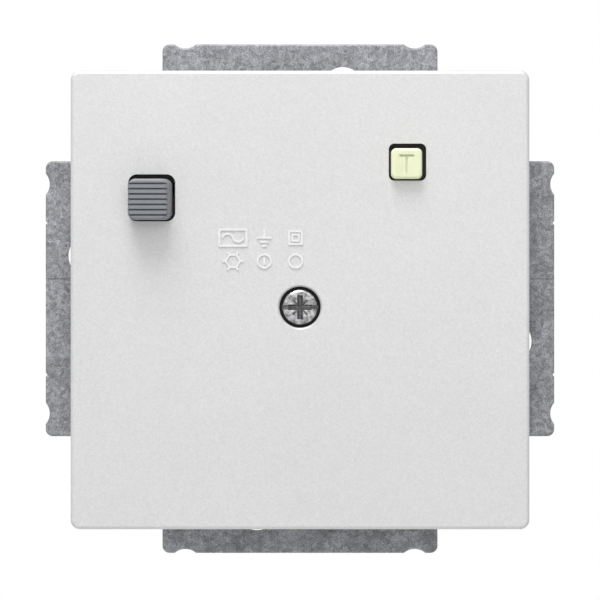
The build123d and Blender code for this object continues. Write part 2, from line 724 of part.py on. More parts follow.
# ================================================================ contact carrier
with BuildPart() as contact_carrier:
    with BuildSketch(at_depth(carrier_back_y)):
        RectangleRounded(carrier_length, carrier_height, carrier_corner)
        with Locations((0, carrier_tongue_z / 2)):
            Rectangle(carrier_tongue_width, -carrier_tongue_z)
        with Locations((reset_stem_x, reset_stem_z)):
            Circle(reset_stem_radius + carrier_corner)
        with Locations((reset_stem_x, reset_stem_z / 2)):
            Rectangle(2 * reset_stem_radius + 2 * carrier_corner, reset_stem_z)
    extrude(amount=carrier_thickness)
    with BuildSketch(at_depth(carrier_back_y)):
        with GridLocations(2 * guide_pin_x, 0, 2, 1):
            Circle(guide_pin_radius + slide_gap)
    extrude(amount=carrier_thickness, mode=Mode.SUBTRACT)
    with BuildSketch(at_depth(carrier_back_y)):
        with GridLocations(2 * pole_x, 0, 2, 1):
            Circle(contact_spring_radius + contact_spring_wire + slide_gap)
    extrude(amount=contact_pocket, mode=Mode.SUBTRACT)
    stirrup_back_y = bridge_back_y + thread_gap + stirrup_leg
    stirrup_span = bridge_width + 2 * slide_gap
    with BuildSketch(at_depth(stirrup_back_y)):
        with GridLocations(2 * pole_x, 0, 2, 1):
            Rectangle(stirrup_span + 2 * stirrup_leg, stirrup_height)
    extrude(amount=stirrup_back_y - carrier_back_y)
    with BuildSketch(at_depth(stirrup_back_y - stirrup_leg)):
        with GridLocations(2 * pole_x, 0, 2, 1):
            Rectangle(stirrup_span, stirrup_height)
    extrude(amount=stirrup_back_y - stirrup_leg - carrier_back_y, mode=Mode.SUBTRACT)
save(contact_carrier.part, "contact_carrier")

for pole, side in poles.items():
    with BuildPart() as bridge:
        with BuildSketch(at_depth(bridge_back_y)):
            with Locations((side * pole_x, 0)):
                Rectangle(bridge_width, bridge_length)
        extrude(amount=bridge_thickness)
        fillet(bridge.edges().filter_by(Axis.Y), bridge_width / 4)
    save(bridge.part, f"{pole}_bridge_contact")

contact_points = [(x * pole_x, z * tip_z) for x in (-1, 1) for z in (-1, 1)]
for name, back_y in (("moving_contact_tips", moving_tip_y), ("fixed_contact_tips", strip_front_y)):
    with BuildPart() as tips:
        with BuildSketch(at_depth(back_y)):
            with Locations(*contact_points):
                Circle(tip_radius)
        extrude(amount=tip_thickness)
    save(tips.part, name)

contact_springs = Part() + [
    coil_spring(side * pole_x, 0, carrier_back_y - contact_pocket, bridge_front_y,
                contact_spring_radius, contact_spring_wire, 4) for side in poles.values()]
save(contact_springs, "contact_springs")

opening_springs = Part() + [
    coil_spring(side * guide_pin_x, 0, carrier_back_y, chassis_front_y,
                opening_spring_radius, opening_spring_wire, 6) for side in poles.values()]
save(opening_springs, "opening_springs")

with BuildPart() as guide_pins:
    with BuildSketch(at_depth(chassis_front_y)):
        with GridLocations(2 * guide_pin_x, 0, 2, 1):
            Circle(guide_pin_radius)
    extrude(amount=chassis_front_y - carrier_front_y + guide_pin_lead)
save(guide_pins.part, "guide_pins")

# ================================================================ fixed contacts
bar_reach_z = terminal_z + cage_depth / 2 - fit_gap
leg_z = chassis_half_z + 2 * fit_gap
for pole, side in poles.items():
    x = side * pole_x
    terminal_side = side * terminal_x
    # The supply side runs straight from the contact tip round the chassis into its terminal.
    with BuildPart() as contact_in:
        with BuildSketch(at_depth(chassis_front_y)):
            with Locations((x, (tip_z - strip_width / 2 + leg_z + strip_thickness) / 2)):
                Rectangle(strip_width, leg_z + strip_thickness - tip_z + strip_width / 2)
        extrude(amount=strip_thickness)
        with BuildSketch(at_depth(bar_front_y + strip_thickness)):
            with Locations(((x + terminal_side) / 2, leg_z + strip_thickness / 2)):
                Rectangle(strip_width + abs(x - terminal_side), strip_thickness)
        extrude(amount=bar_front_y + strip_thickness - strip_front_y)
        with BuildSketch(at_depth(bar_front_y + strip_thickness)):
            with Locations((terminal_side, (leg_z + bar_reach_z) / 2)):
                Rectangle(strip_width, bar_reach_z - leg_z)
        extrude(amount=strip_thickness)
    save(contact_in.part, f"{pole}_contact_in")
    # The load side leads to the middle, where the conductor goes back through the transformer.
    with BuildPart() as contact_out:
        with BuildSketch(at_depth(chassis_front_y)):
            with Locations((x, -tip_z / 2)):
                Rectangle(strip_width, tip_z + strip_width)
            with Locations(((x + side * primary_x) / 2, 0)):
                Rectangle(abs(x) - primary_x + strip_width / 2, strip_width)
        extrude(amount=strip_thickness)
    save(contact_out.part, f"{pole}_contact_out")
    with BuildPart() as bar_out:
        with BuildSketch(at_depth(bar_front_y + strip_thickness)):
            with Locations((terminal_side, -(leg_z + bar_reach_z) / 2)):
                Rectangle(strip_width, bar_reach_z - leg_z)
        extrude(amount=strip_thickness)
        with BuildSketch(at_depth(primary_bend_y + primary_radius)):
            with Locations((terminal_side, -leg_z - strip_thickness / 2)):
                Rectangle(strip_width, strip_thickness)
        extrude(amount=primary_bend_y + primary_radius - bar_front_y)
    save(bar_out.part, f"{pole}_terminal_bar_out")
    primary = round_wire(((side * primary_x, chassis_front_y, 0),
                          (side * primary_x, primary_bend_y, 0),
                          (terminal_side, primary_bend_y, -core_outer + primary_radius),
                          (terminal_side, primary_bend_y, -leg_z)),
                         primary_bend_radius, primary_radius)
    save(primary, f"{pole}_primary")

# ================================================================ mechanism chassis
lug_x = latch_width / 2 + slide_gap + latch_lug / 2
with BuildPart() as mechanism_chassis:
    with BuildSketch(at_depth(chassis_back_y)):
        RectangleRounded(2 * chassis_half_x, 2 * chassis_half_z, carrier_corner)
        with GridLocations(2 * primary_x, 0, 2, 1):
            Circle(primary_radius + slide_gap, mode=Mode.SUBTRACT)
    extrude(amount=chassis_thickness)
    with BuildSketch(at_depth(chassis_front_y)):
        with Locations(*pillar_points):
            Circle(pillar_radius)
    extrude(amount=chassis_front_y - deck_back_y)
    for side in (-1, 1):
        with BuildSketch(Plane.YZ.offset(side * lug_x - latch_lug / 2)):
            with Locations(((latch_y + chassis_front_y) / 2, latch_z)):
                Rectangle(chassis_front_y - latch_y, 2 * latch_hub_radius)
            with Locations((latch_y, latch_z)):
                Circle(latch_hub_radius)
        extrude(amount=latch_lug)
    with BuildSketch(Plane.YZ.offset(-lug_x - latch_lug)):
        with Locations((latch_y, latch_z)):
            Circle(latch_pin_radius)
    extrude(amount=2 * (lug_x + latch_lug), mode=Mode.SUBTRACT)
save(mechanism_chassis.part, "mechanism_chassis")

# ================================================================ latch
with BuildPart() as latch_held:
    with BuildSketch(Plane.YZ.offset(-latch_width / 2)):
        with Locations((latch_nose_front / 2, 0)):
            Rectangle(-latch_nose_front, 2 * latch_arm_half)
        with Locations(((latch_nose_front + latch_nose_back) / 2, latch_nose_top / 2)):
            Rectangle(latch_nose_back - latch_nose_front, latch_nose_top)
        with Locations((0, -latch_tail / 2)):
            Rectangle(2 * latch_tail_half, latch_tail)
        Circle(latch_hub_radius)
        Circle(latch_pin_radius + latch_pin_gap, mode=Mode.SUBTRACT)
    extrude(amount=latch_width)
latch_lever = latch_held.part.rotate(Axis.X, latch_swing).translate((0, latch_y, latch_z))
save(latch_lever, "latch_lever")

with BuildPart() as latch_pin:
    with BuildSketch(Plane.YZ.offset(-lug_x - latch_lug / 2)):
        with Locations((latch_y, latch_z)):
            Circle(latch_pin_radius)
    extrude(amount=2 * lug_x + latch_lug)
save(latch_pin.part, "latch_pin")

# ================================================================ trip relay and circuit board
plunger_z = latch_z - plunger_drop
relay_back_y = relay_front_y + relay_size[1]
with BuildPart() as trip_relay:
    with Locations((0, relay_front_y + relay_size[1] / 2, relay_top_z - relay_size[2] / 2)):
        Box(*relay_size)
    fillet(trip_relay.edges(), relay_edge)
    with BuildSketch(at_depth(relay_back_y)):
        with Locations((0, plunger_z)):
            Circle(plunger_radius + slide_gap)
    extrude(amount=plunger_pocket, mode=Mode.SUBTRACT)
save(trip_relay.part, "trip_relay")

with BuildPart() as trip_plunger:
    with BuildSketch(at_depth(plunger_tip_y)):
        with Locations((0, plunger_z)):
            Circle(plunger_radius)
    extrude(amount=plunger_tip_y - relay_back_y + plunger_pocket - plunger_return)
save(trip_plunger.part, "trip_plunger")

board_x, board_y, board_z = board_low
board_centre = [low + size / 2 for low, size in zip(board_low, board_size)]
with BuildPart() as circuit_board:
    with Locations(tuple(board_centre)):
        Box(*board_size)
save(circuit_board.part, "circuit_board")

board_back_y = board_y + board_size[1]
with BuildPart() as capacitor:
    with Locations((board_x + board_size[0] - capacitor_radius, board_back_y + capacitor_radius,
                    board_centre[2])):
        Cylinder(capacitor_radius, capacitor_length)
    fillet(capacitor.edges(), capacitor_radius / 5)
save(capacitor.part, "capacitor")

with BuildPart() as diodes:
    with Locations(*[(board_x + diode_radius + fit_gap, board_back_y + diode_radius,
                      board_centre[2] + end * diode_spread) for end in (-1, 1)]):
        Cylinder(diode_radius, diode_length)
save(diodes.part, "diodes")

# ================================================================ summation transformer
core_back_y = core_front_y + core_height
with BuildPart() as transformer_core:
    with BuildSketch(at_depth(core_back_y)):
        Circle(core_outer)
        Circle(core_inner, mode=Mode.SUBTRACT)
    extrude(amount=core_height)
save(transformer_core.part, "transformer_core")

with BuildPart() as secondary_winding:
    with BuildSketch(at_depth(winding_back_y)):
        Circle(core_outer + winding_cover)
        Circle(core_inner - winding_cover, mode=Mode.SUBTRACT)
        with BuildLine():
            Polyline((0, 0), (2 * core_outer, 2 * core_outer * winding_gap_slope),
                     (2 * core_outer, -2 * core_outer * winding_gap_slope), close=True)
        make_face(mode=Mode.SUBTRACT)
    extrude(amount=core_height + 2 * winding_cover)
    with BuildSketch(at_depth(core_back_y)):
        Circle(core_outer)
        Circle(core_inner, mode=Mode.SUBTRACT)
    extrude(amount=core_height, mode=Mode.SUBTRACT)
save(secondary_winding.part, "secondary_winding")

# ================================================================ terminals
cage_inner = cage_width - 2 * cage_wall
for pole, side in poles.items():
    for way, level in terminals.items():
        x, z = side * terminal_x, -level * terminal_z
        with BuildPart() as cage:
            with Locations((x, (cage_front_y + cage_back_y) / 2, z)):
                Box(cage_width, cage_back_y - cage_front_y, cage_depth)
            with Locations((x, (cage_front_y + cage_floor + cage_back_y - cage_top) / 2, z)):
                Box(cage_inner, cage_back_y - cage_top - cage_front_y - cage_floor, cage_depth,
                    mode=Mode.SUBTRACT)
            with BuildSketch(at_depth(cage_back_y)):
                with Locations((x, z)):
                    Circle(terminal_screw_radius + thread_gap)
            extrude(amount=cage_top, mode=Mode.SUBTRACT)
        save(cage.part, f"{pole}_{way}_terminal_cage")
        with BuildPart() as screw:
            with BuildSketch(at_depth(terminal_head_y + terminal_head_height)):
                with Locations((x, z)):
                    Circle(terminal_head_radius)
            extrude(amount=terminal_head_height)
            chamfer(screw.faces().sort_by(Axis.Y)[-1].edges(), thread_gap * 4)
            with BuildSketch(at_depth(terminal_head_y)):
                with Locations((x, z)):
                    Circle(terminal_screw_radius)
            extrude(amount=terminal_head_y - terminal_tip_y)
            with BuildSketch(at_depth(terminal_head_y + terminal_head_height)):
                with Locations((x, z)):
                    Rectangle(2 * terminal_head_radius + 1, terminal_slot)
                    Rectangle(terminal_slot, terminal_head_radius)
            extrude(amount=terminal_slot, mode=Mode.SUBTRACT)
        save(screw.part, f"{pole}_{way}_terminal_screw")

# ================================================================ rear housing
terminal_points = [(x * terminal_x, z * terminal_z) for x in (-1, 1) for z in (-1, 1)]
with BuildPart() as rear_housing:
    with BuildSketch(at_depth(rear_back_y)):
        clipped_square(rear_flat, rear_round)
    extrude(amount=rear_back_y)
    fillet(rear_housing.faces().sort_by(Axis.Y)[-1].edges(), rear_edge)
    with BuildSketch(at_depth(rear_inner_y)):
        clipped_square(rear_inner_flat, rear_inner_round)
    extrude(amount=rear_inner_y, mode=Mode.SUBTRACT)
    with BuildSketch(at_depth(rear_inner_y)):
        with Locations(*housing_corners):
            Circle(housing_well_radius)
    extrude(amount=rear_inner_y - deck_back_y)
    with BuildSketch(at_depth(rear_inner_y)):
        for x in (rib_x, outer_rib_x):
            with GridLocations(2 * x, rib_inner_z + rib_outer_z, 2, 2):
                Rectangle(rib_thickness, rib_outer_z - rib_inner_z)
    extrude(amount=rear_inner_y - chassis_back_y)
    with BuildSketch(at_depth(rear_inner_y)):
        with Locations(*terminal_points):
            Circle(terminal_well_radius + rib_thickness)
    extrude(amount=rear_inner_y - terminal_seat_y)
    with BuildSketch(Plane.XY.offset(-rear_inner_flat / 2)):
        with GridLocations(2 * terminal_x, 0, 2, 1):
            with Locations((0, wire_hole_y)):
                Circle(wire_hole_radius + rib_thickness)
    extrude(amount=wire_funnel)
    with BuildSketch(Plane.XY.offset(rear_inner_flat / 2)):
        with GridLocations(2 * terminal_x, 0, 2, 1):
            with Locations((0, wire_hole_y)):
                Circle(wire_hole_radius + rib_thickness)
    extrude(amount=-wire_funnel)
    with BuildSketch(Plane.XY.offset(-rear_flat / 2)):
        with GridLocations(2 * terminal_x, 0, 2, 1):
            with Locations((0, wire_hole_y)):
                Circle(wire_hole_radius)
    extrude(amount=rear_flat, mode=Mode.SUBTRACT)
    with BuildSketch(at_depth(rear_back_y)):
        with Locations(*housing_corners):
            Circle(housing_well_bore)
    extrude(amount=rear_back_y - housing_head_y, mode=Mode.SUBTRACT)
    with BuildSketch(at_depth(rear_back_y)):
        with Locations(*terminal_points):
            Circle(terminal_well_radius)
    extrude(amount=rear_back_y - terminal_head_y, mode=Mode.SUBTRACT)
    with BuildSketch(at_depth(rear_back_y)):
        with Locations(*terminal_points):
            Circle(terminal_screw_radius + slide_gap)
    extrude(amount=rear_back_y - terminal_seat_y + rib_thickness, mode=Mode.SUBTRACT)
    with BuildSketch(at_depth(housing_head_y)):
        with Locations(*housing_corners):
            Circle(housing_screw_radius + slide_gap)
    extrude(amount=housing_head_y - deck_back_y, mode=Mode.SUBTRACT)
    wire_mouths = rear_housing.edges().filter_by(GeomType.CIRCLE).filter_by(
        lambda e: abs(abs(e.center().Z) - rear_flat / 2) < same_place)
    chamfer(wire_mouths, wire_hole_bevel)
save(rear_housing.part, "rear_housing")

# ================================================================ housing screws
with BuildPart() as housing_screws:
    with BuildSketch(at_depth(housing_head_y + housing_head_height)):
        with Locations(*housing_corners):
            Circle(housing_head_radius)
    extrude(amount=housing_head_height)
    chamfer(housing_screws.faces().filter_by(Axis.Y).group_by(Axis.Y)[-1].edges(), thread_gap * 4)
    with BuildSketch(at_depth(housing_head_y)):
        with Locations(*housing_corners):
            Circle(housing_screw_radius)
    extrude(amount=housing_screw_length)
    with BuildSketch(at_depth(housing_head_y + housing_head_height)):
        with Locations(*housing_corners):
            Rectangle(2 * housing_screw_radius, terminal_slot / 2)
            Rectangle(terminal_slot / 2, 2 * housing_screw_radius)
    extrude(amount=terminal_slot, mode=Mode.SUBTRACT)
save(housing_screws.part, "housing_screws")
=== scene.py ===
import json
import math

import bpy
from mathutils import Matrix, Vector


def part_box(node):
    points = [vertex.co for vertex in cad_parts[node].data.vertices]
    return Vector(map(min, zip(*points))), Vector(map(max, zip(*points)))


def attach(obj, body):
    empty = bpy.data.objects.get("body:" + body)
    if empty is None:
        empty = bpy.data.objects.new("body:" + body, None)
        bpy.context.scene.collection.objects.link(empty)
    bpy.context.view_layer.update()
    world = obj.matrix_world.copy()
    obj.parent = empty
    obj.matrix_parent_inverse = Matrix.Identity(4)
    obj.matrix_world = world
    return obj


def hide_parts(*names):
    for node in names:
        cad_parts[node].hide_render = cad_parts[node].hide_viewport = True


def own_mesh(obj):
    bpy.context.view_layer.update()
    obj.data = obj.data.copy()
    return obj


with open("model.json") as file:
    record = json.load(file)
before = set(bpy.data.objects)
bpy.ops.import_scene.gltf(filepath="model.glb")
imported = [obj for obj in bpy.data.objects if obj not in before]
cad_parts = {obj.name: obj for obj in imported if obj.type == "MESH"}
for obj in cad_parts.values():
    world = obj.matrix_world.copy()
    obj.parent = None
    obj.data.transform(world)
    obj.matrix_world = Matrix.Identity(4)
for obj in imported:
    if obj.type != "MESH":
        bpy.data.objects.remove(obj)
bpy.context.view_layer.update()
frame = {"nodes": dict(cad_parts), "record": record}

# Lengths are in metres, in the part's own frame: +X right, +Z up, +Y into the wall.
MM = 0.001
ROOT = "insert"

# ------------------------------------------------------------------ camera
CAMERA_DISTANCE = 480 * MM       # from the front of the cover plate's raised marks
CAMERA_RISE = 10 * MM            # above the plate's centre
FIELD = 82.3 * MM                # width of the view at that distance
SENSOR = 36.0

# ------------------------------------------------------------------ light
FILL_BELOW = 0.03                # what diffuse rays see of the world, at its foot
FILL_ABOVE = 0.60                # and overhead
KEY_POWER = 7.4
KEY_PLACE = Vector((-0.12, -0.38, 0.76))
KEY_SIZE = 0.42
FRONT_POWER = 2.2
FRONT_PLACE = Vector((0.06, -0.86, 0.46))
FRONT_SIZE = 0.60
FLOOR_DROP = 0.26                # floor below the plate's centre
FLOOR_REACH = 1.6                # from the floor's middle to its sides

# ------------------------------------------------------------------ sizes the materials and springs follow
SCREW_HOLE_RADIUS = 2.83 * MM
MARK_RELIEF = 0.16 * MM
RECESS_START = 0.14 * MM         # below the cover screw's top, where the painted shade of its recess begins
HOLE_EDGE = 0.02 * MM
RECESS_EDGE = 0.05 * MM
RESET_COIL_RADIUS = 2.25 * MM
RESET_WIRE = 0.22 * MM           # radius of the wire
RESET_TURNS = 7
OPENING_COIL_RADIUS = 1.9 * MM
OPENING_WIRE = 0.2 * MM
OPENING_TURNS = 6
STEPS_PER_TURN = 20
END_OPENING = 0.07               # how much further apart a spring's end turns are


# ------------------------------------------------------------------ material helpers
def new_material(name):
    """A material with its Principled shader, its node tree and object-space coordinates."""
    mat = bpy.data.materials.new(name)
    mat.use_nodes = True
    tree = mat.node_tree
    shader = tree.nodes["Principled BSDF"]
    coords = tree.nodes.new("ShaderNodeTexCoord")
    return mat, tree, shader, coords.outputs["Object"]


def stretched(tree, coords, scale):
    """Coordinates scaled by a different amount along each axis, for drawn or brushed marks."""
    mapping = tree.nodes.new("ShaderNodeMapping")
    mapping.inputs["Scale"].default_value = scale
    tree.links.new(coords, mapping.inputs["Vector"])
    return mapping.outputs["Vector"]


def noise(tree, coords, per_metre, detail=3.0, roughness=0.55):
    """Noise with that many features to the metre."""
    node = tree.nodes.new("ShaderNodeTexNoise")
    node.inputs["Scale"].default_value = per_metre
    node.inputs["Detail"].default_value = detail
    node.inputs["Roughness"].default_value = roughness
    tree.links.new(coords, node.inputs["Vector"])
    return node.outputs["Fac"]


def crystals(tree, coords, per_metre):
    """One random grey for each cell, as in the spangle of a zinc coat."""
    node = tree.nodes.new("ShaderNodeTexVoronoi")
    node.inputs["Scale"].default_value = per_metre
    tree.links.new(coords, node.inputs["Vector"])
    split = tree.nodes.new("ShaderNodeSeparateColor")
    tree.links.new(node.outputs["Color"], split.inputs["Color"])
    return split.outputs["Red"]


def ramp(tree, factor, stops):
    """Maps a factor through (position, colour) stops."""
    node = tree.nodes.new("ShaderNodeValToRGB")
    points = node.color_ramp.elements
    while len(points) < len(stops):
        points.new(0.5)
    for point, (position, colour) in zip(points, stops):
        point.position = position
        point.color = (*colour, 1.0)
    tree.links.new(factor, node.inputs["Fac"])
    return node.outputs["Color"]


def greys(tree, factor, *stops):
    """Maps a factor through (position, brightness) stops."""
    return ramp(tree, factor, [(position, (level,) * 3) for position, level in stops])


def multiplied(tree, first, second):
    """One colour output times another."""
    node = tree.nodes.new("ShaderNodeMix")
    node.data_type = "RGBA"
    node.blend_type = "MULTIPLY"
    node.inputs["Factor"].default_value = 1.0
    tree.links.new(first, node.inputs["A"])
    tree.links.new(second, node.inputs["B"])
    return node.outputs["Result"]


def bump(tree, shader, height, strength, depth):
    """Raises the surface by a height output, depth metres at most."""
    node = tree.nodes.new("ShaderNodeBump")
    node.inputs["Strength"].default_value = strength
    node.inputs["Distance"].default_value = depth
    tree.links.new(height, node.inputs["Height"])
    tree.links.new(node.outputs["Normal"], shader.inputs["Normal"])


def varied(tree, shader, factor, low, high):
    """Roughness between low and high, by a factor."""
    node = tree.nodes.new("ShaderNodeMapRange")
    node.inputs["To Min"].default_value = low
    node.inputs["To Max"].default_value = high
    tree.links.new(factor, node.inputs["Value"])
    tree.links.new(node.outputs["Result"], shader.inputs["Roughness"])


def scaled(colour, factor):
    """A colour made darker or brighter."""
    return tuple(channel * factor for channel in colour)


def within(tree, coords, centre, radius, edge):
    """1 inside a round column along Y, 0 outside it, with a soft edge."""
    flat = tree.nodes.new("ShaderNodeVectorMath")
    flat.operation = "MULTIPLY"
    flat.inputs[1].default_value = (1.0, 0.0, 1.0)
    tree.links.new(coords, flat.inputs[0])
    away = tree.nodes.new("ShaderNodeVectorMath")
    away.operation = "DISTANCE"
    away.inputs[1].default_value = (centre[0], 0.0, centre[1])
    tree.links.new(flat.outputs["Vector"], away.inputs[0])
    mask = tree.nodes.new("ShaderNodeMapRange")
    mask.inputs["From Min"].default_value = radius
    mask.inputs["From Max"].default_value = radius + edge
    mask.inputs["To Min"].default_value = 1.0
    mask.inputs["To Max"].default_value = 0.0
    tree.links.new(away.outputs["Value"], mask.inputs["Value"])
    return mask.outputs["Result"]


def ahead_of(tree, coords, depth, edge):
    """1 in front of that place along Y, 0 behind it."""
    split = tree.nodes.new("ShaderNodeSeparateXYZ")
    tree.links.new(coords, split.inputs["Vector"])
    mask = tree.nodes.new("ShaderNodeMapRange")
    mask.inputs["From Min"].default_value = depth - edge
    mask.inputs["From Max"].default_value = depth
    mask.inputs["To Min"].default_value = 1.0
    mask.inputs["To Max"].default_value = 0.0
    tree.links.new(split.outputs["Y"], mask.inputs["Value"])
    return mask.outputs["Result"]


# ------------------------------------------------------------------ materials
def metallic_paint(name, colour):
    """Silver paint: fine flakes that sparkle a little over an even grey, with painted shade in the screw
    hole and a painted highlight on the raised marks.
    """
    mat, tree, shader, coords = new_material(name)
    flakes = crystals(tree, coords, 7000)
    grain = noise(tree, coords, 2600, 4.0)
    broad = noise(tree, coords, 45, 2.0)
    fine = ramp(tree, flakes, ((0.0, scaled(colour, 0.93)), (1.0, scaled(colour, 1.05))))
    soft = greys(tree, grain, (0.3, 0.95), (0.7, 1.0))
    cloud = greys(tree, broad, (0.3, 0.97), (0.7, 1.0))
    mixed = multiplied(tree, multiplied(tree, fine, soft), cloud)
    # Painted shade: inside the screw hole the paint is darkened almost to black.
    low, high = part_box("cover_screw")
    hole = within(tree, coords, ((low[0] + high[0]) / 2, (low[2] + high[2]) / 2),
                  SCREW_HOLE_RADIUS, HOLE_EDGE)
    mixed = multiplied(tree, mixed, greys(tree, hole, (0.0, 1.0), (1.0, 0.02)))
    # Painted highlight: the raised marks are kept a little lighter than the plate.
    marks_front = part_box("cover_plate")[0][1]
    raised = ahead_of(tree, coords, marks_front + MARK_RELIEF * 0.7, MARK_RELIEF * 0.2)
    mark_painted_highlight = greys(tree, raised, (0.0, 0.84), (1.0, 1.0))
    tree.links.new(multiplied(tree, mixed, mark_painted_highlight), shader.inputs["Base Color"])
    shader.inputs["Metallic"].default_value = 0.30
    varied(tree, shader, flakes, 0.34, 0.50)
    bump(tree, shader, grain, 0.10, 0.02 * MM)
    return mat


def zinc_plate(name, colour, spread=0.55):
    """Passivated zinc: mottled grains, dark specks and faint drawn scuffs."""
    mat, tree, shader, coords = new_material(name)
    grains = crystals(tree, coords, 1900)
    specks = noise(tree, coords, 5200, 5.0, 0.7)
    patches = noise(tree, coords, 260, 3.0)
    scuffs = noise(tree, stretched(tree, coords, (1.0, 1.0, 0.12)), 1500, 2.0)
    base = ramp(tree, grains, ((0.0, scaled(colour, 1 - spread / 2)),
                               (1.0, scaled(colour, 1 + spread / 2))))
    dark = greys(tree, specks, (0.36, 0.45), (0.52, 1.0), (0.74, 1.35))
    cloud = greys(tree, patches, (0.3, 0.82), (0.7, 1.08))
    worn = greys(tree, scuffs, (0.30, 0.86), (0.60, 1.0))
    mixed = multiplied(tree, multiplied(tree, base, dark), cloud)
    tree.links.new(multiplied(tree, mixed, worn), shader.inputs["Base Color"])
    shader.inputs["Metallic"].default_value = 0.12
    varied(tree, shader, specks, 0.36, 0.62)
    bump(tree, shader, specks, 0.28, 0.03 * MM)
    return mat


def drawn_metal(name, colour, rough):
    """Bare metal with fine tool marks along one axis and a slight tarnish."""
    mat, tree, shader, coords = new_material(name)
    marks = noise(tree, stretched(tree, coords, (1.0, 0.08, 1.0)), 5200, 3.0)
    tarnish = noise(tree, coords, 620, 3.0)
    base = ramp(tree, marks, ((0.25, scaled(colour, 0.80)), (0.75, scaled(colour, 1.10))))
    veil = greys(tree, tarnish, (0.3, 0.82), (0.65, 1.0))
    tree.links.new(multiplied(tree, base, veil), shader.inputs["Base Color"])
    shader.inputs["Metallic"].default_value = 1.0
    varied(tree, shader, tarnish, rough * 0.8, rough * 1.35)
    bump(tree, shader, marks, 0.12, 0.01 * MM)
    return mat


def moulded_plastic(name, colour, rough, grain_per_metre=2400, relief=0.25):
    """Moulded plastic with a fine spark-eroded grain, darker in its low spots, and flow shading."""
    mat, tree, shader, coords = new_material(name)
    grain = noise(tree, coords, grain_per_metre, 4.0)
    flow = noise(tree, stretched(tree, coords, (1.0, 0.5, 0.7)), 95, 2.0)
    base = ramp(tree, grain, ((0.30, scaled(colour, 0.90)), (0.72, scaled(colour, 1.06))))
    veil = greys(tree, flow, (0.3, 0.93), (0.7, 1.0))
    tree.links.new(multiplied(tree, base, veil), shader.inputs["Base Color"])
    varied(tree, shader, grain, rough * 0.85, rough * 1.15)
    bump(tree, shader, grain, relief, 0.02 * MM)
    return mat


def luminous_plastic(name, colour):
    """Pale translucent key: light travels a little way under its skin."""
    mat, tree, shader, coords = new_material(name)
    cloud = noise(tree, coords, 800, 3.0)
    base = ramp(tree, cloud, ((0.3, scaled(colour, 0.96)), (0.7, scaled(colour, 1.03))))
    tree.links.new(base, shader.inputs["Base Color"])
    shader.inputs["Subsurface Weight"].default_value = 0.35
    shader.inputs["Subsurface Radius"].default_value = (1.0, 1.0, 0.6)
    shader.inputs["Subsurface Scale"].default_value = 0.6 * MM
    varied(tree, shader, cloud, 0.28, 0.40)
    bump(tree, shader, cloud, 0.08, 0.01 * MM)
    return mat


def wound_wire(name, colour):
    """Lacquered wire: fine turns side by side round the toroid."""
    mat, tree, shader, coords = new_material(name)
    turns = tree.nodes.new("ShaderNodeTexWave")
    turns.wave_type = "BANDS"
    turns.bands_direction = "Z"
    turns.inputs["Scale"].default_value = 900
    turns.inputs["Distortion"].default_value = 1.4
    tree.links.new(coords, turns.inputs["Vector"])
    base = ramp(tree, turns.outputs["Fac"], ((0.0, scaled(colour, 0.45)), (0.8, colour)))
    tree.links.new(base, shader.inputs["Base Color"])
    shader.inputs["Metallic"].default_value = 0.5
    varied(tree, shader, turns.outputs["Fac"], 0.5, 0.3)
    bump(tree, shader, turns.outputs["Fac"], 0.6, 0.08 * MM)
    return mat


def screw_head(name, colour):
    """Bright head: painted glints, dark painted reflections and mottled painted highlights on top, and
    painted shade in its recess.
    """
    mat, tree, shader, coords = new_material(name)
    painted_glint_noise = noise(tree, coords, 1700, 5.0, 0.75)
    mottle = crystals(tree, coords, 1300)
    # Painted glints and dark painted reflections streak the head's colour.
    base = ramp(tree, painted_glint_noise, ((0.36, scaled(colour, 0.45)), (0.52, colour),
                             (0.66, scaled(colour, 1.5))))
    # Painted highlights: each cell of the mottle brightens or dims the head.
    painted_highlight_mottle = greys(tree, mottle, (0.0, 0.62), (1.0, 1.15))
    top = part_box("cover_screw")[0][1]
    head = ahead_of(tree, coords, top + RECESS_START, RECESS_EDGE)
    # Painted shade: the recess below the head's top face is darkened.
    painted_recess_shade = greys(tree, head, (0.0, 0.30), (1.0, 1.0))
    mixed = multiplied(tree, base, painted_highlight_mottle)
    tree.links.new(multiplied(tree, mixed, painted_recess_shade), shader.inputs["Base Color"])
    shader.inputs["Metallic"].default_value = 1.0
    varied(tree, shader, painted_glint_noise, 0.16, 0.34)
    bump(tree, shader, painted_glint_noise, 0.5, 0.05 * MM)
    return mat


PAINT = metallic_paint("silver_metallic_paint", (0.74, 0.74, 0.74))
ZINC = zinc_plate("speckled_zinc", (0.30, 0.305, 0.325))
ZINC_FINE = zinc_plate("zinc_hardware", (0.50, 0.50, 0.51), 0.2)
BRIGHT = drawn_metal("bright_screw_steel", (0.25, 0.25, 0.26), 0.24)
SPRING = drawn_metal("spring_steel", (0.50, 0.51, 0.53), 0.30)
COVER_SCREW = screw_head("screw_head_painted_glints", (0.50, 0.50, 0.51))
BRASS = drawn_metal("turned_brass", (0.72, 0.52, 0.22), 0.28)
COPPER = drawn_metal("rolled_copper", (0.80, 0.42, 0.27), 0.32)
SILVER = drawn_metal("contact_silver", (0.78, 0.78, 0.76), 0.36)
KEY_GREY = moulded_plastic("grey_key_plastic", (0.20, 0.21, 0.23), 0.46, 3200, 0.2)
KEY_PALE = luminous_plastic("luminous_key_plastic", (0.70, 0.73, 0.51))
SHELL_BLACK = moulded_plastic("black_housing_plastic", (0.030, 0.030, 0.033), 0.50, 1800, 0.45)
BEIGE = moulded_plastic("beige_mechanism_plastic", (0.50, 0.42, 0.29), 0.55)
FERRITE = moulded_plastic("sintered_ferrite", (0.07, 0.07, 0.08), 0.62, 3600, 0.4)
WINDING = wound_wire("lacquered_winding", (0.48, 0.17, 0.06))
BOARD = moulded_plastic("green_board", (0.03, 0.16, 0.07), 0.32, 5200, 0.3)
COMPONENT = moulded_plastic("component_lacquer", (0.06, 0.13, 0.34), 0.34)
SLEEVE = moulded_plastic("blue_wire_sleeve", (0.05, 0.11, 0.40), 0.42)

